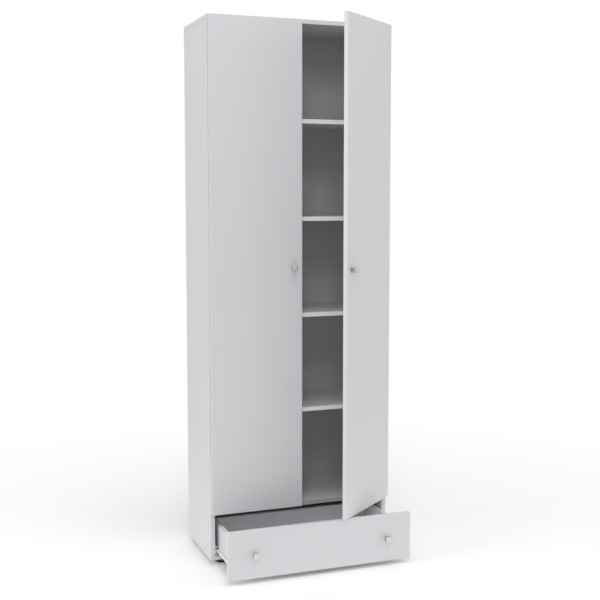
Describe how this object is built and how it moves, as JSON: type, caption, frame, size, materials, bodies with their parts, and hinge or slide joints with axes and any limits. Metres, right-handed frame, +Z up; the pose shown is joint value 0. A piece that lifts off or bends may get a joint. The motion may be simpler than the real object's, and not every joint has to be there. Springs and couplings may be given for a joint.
{
  "type": "wardrobe",
  "caption": "Tall narrow wardrobe with hinged doors over a wide full-width drawer, open shelves inside and low round feet.",
  "frame": {"origin": "middle of the footprint on the floor, measured with the right door partly open and the drawer partly out", "axes": "+Z up, +Y towards the back, +X to the right as seen from the front"},
  "size_m": [0.6742, 0.5484, 1.9],
  "materials": {
    "white_melamine": "white melamine-faced chipboard, satin, with edge bands",
    "white_fibreboard": "white coated hardboard, matte",
    "white_plastic": "moulded, satin",
    "black_plastic": "moulded, matte",
    "plated_steel": "nickel-plated pressings",
    "white_epoxy_steel": "white epoxy coating, semi-gloss",
    "satin_knob": "satin"
  },
  "bodies": {
    "carcass": {"side_panel_left": "white_melamine", "side_panel_right": "white_melamine", "top_panel": "white_melamine", "bottom_panel": "white_melamine", "drawer_divider": "white_melamine", "shelf_1": "white_melamine", "shelf_2": "white_melamine", "shelf_3": "white_melamine", "shelf_4": "white_melamine", "foot_front_left": "black_plastic", "foot_front_right": "black_plastic", "foot_rear_left": "black_plastic", "foot_rear_right": "black_plastic", "back_panel_lower": "white_fibreboard", "back_panel_upper": "white_fibreboard", "back_joint_strip": "white_plastic", "runner_cabinet_left": "white_epoxy_steel", "runner_cabinet_right": "white_epoxy_steel", "hinge_plate_left_1": "plated_steel", "hinge_plate_left_2": "plated_steel", "hinge_plate_left_3": "plated_steel", "hinge_plate_right_1": "plated_steel", "hinge_plate_right_2": "plated_steel", "hinge_plate_right_3": "plated_steel", "hinge_arm_left_1": "plated_steel", "hinge_arm_left_2": "plated_steel", "hinge_arm_left_3": "plated_steel", "hinge_arm_right_1": "plated_steel", "hinge_arm_right_2": "plated_steel", "hinge_arm_right_3": "plated_steel"},
    "door_left": {"door_left": "white_melamine", "knob_door_left": "satin_knob", "buffer_upper_left": "white_plastic", "buffer_lower_left": "white_plastic", "hinge_cup_left_1": "plated_steel", "hinge_cup_left_2": "plated_steel", "hinge_cup_left_3": "plated_steel"},
    "door_right": {"door_right": "white_melamine", "knob_door_right": "satin_knob", "buffer_upper_right": "white_plastic", "buffer_lower_right": "white_plastic", "hinge_cup_right_1": "plated_steel", "hinge_cup_right_2": "plated_steel", "hinge_cup_right_3": "plated_steel"},
    "drawer": {"drawer_front": "white_melamine", "drawer_side_left": "white_melamine", "drawer_side_right": "white_melamine", "drawer_back": "white_melamine", "drawer_bottom": "white_fibreboard", "runner_drawer_left": "white_epoxy_steel", "runner_drawer_right": "white_epoxy_steel", "knob_drawer_left": "satin_knob", "knob_drawer_right": "satin_knob"},
    "roller_front_left": {"roller_front_left": "white_plastic"},
    "roller_rear_left": {"roller_rear_left": "white_plastic"},
    "roller_front_right": {"roller_front_right": "white_plastic"},
    "roller_rear_right": {"roller_rear_right": "white_plastic"}
  },
  "joints": [
    {"name": "door_left_swing", "type": "hinge", "parent": "carcass", "child": "door_left", "pos_m": [-0.33089, -0.0532, 1.0415], "axis": [0, 0, -1], "range_deg": [0, 105]},
    {"name": "door_right_swing", "type": "hinge", "parent": "carcass", "child": "door_right", "pos_m": [0.32671, -0.0532, 1.0415], "axis": [0, 0, 1], "range_deg": [-39.5, 65.5]},
    {"name": "drawer_slide", "type": "slide", "parent": "carcass", "child": "drawer", "axis": [0, -1, 0], "range_m": [-0.189, 0.036]},
    {"name": "roller_front_left_spin", "type": "hinge", "parent": "carcass", "child": "roller_front_left", "pos_m": [-0.31584, -0.0312, 0.048], "axis": [1, 0, 0], "continuous": true},
    {"name": "roller_rear_left_spin", "type": "hinge", "parent": "drawer", "child": "roller_rear_left", "pos_m": [-0.31584, 0.0358, 0.048], "axis": [1, 0, 0], "continuous": true},
    {"name": "roller_front_right_spin", "type": "hinge", "parent": "carcass", "child": "roller_front_right", "pos_m": [0.31166, -0.0312, 0.048], "axis": [1, 0, 0], "continuous": true},
    {"name": "roller_rear_right_spin", "type": "hinge", "parent": "drawer", "child": "roller_rear_right", "pos_m": [0.31166, 0.0358, 0.048], "axis": [1, 0, 0], "continuous": true}
  ],
  "couplings": [
    {"joint": "roller_front_left_spin", "follows": "drawer_slide", "rad_per_m": 142.86},
    {"joint": "roller_rear_left_spin", "follows": "drawer_slide", "rad_per_m": 142.86},
    {"joint": "roller_front_right_spin", "follows": "drawer_slide", "rad_per_m": 142.86},
    {"joint": "roller_rear_right_spin", "follows": "drawer_slide", "rad_per_m": 142.86}
  ]
}
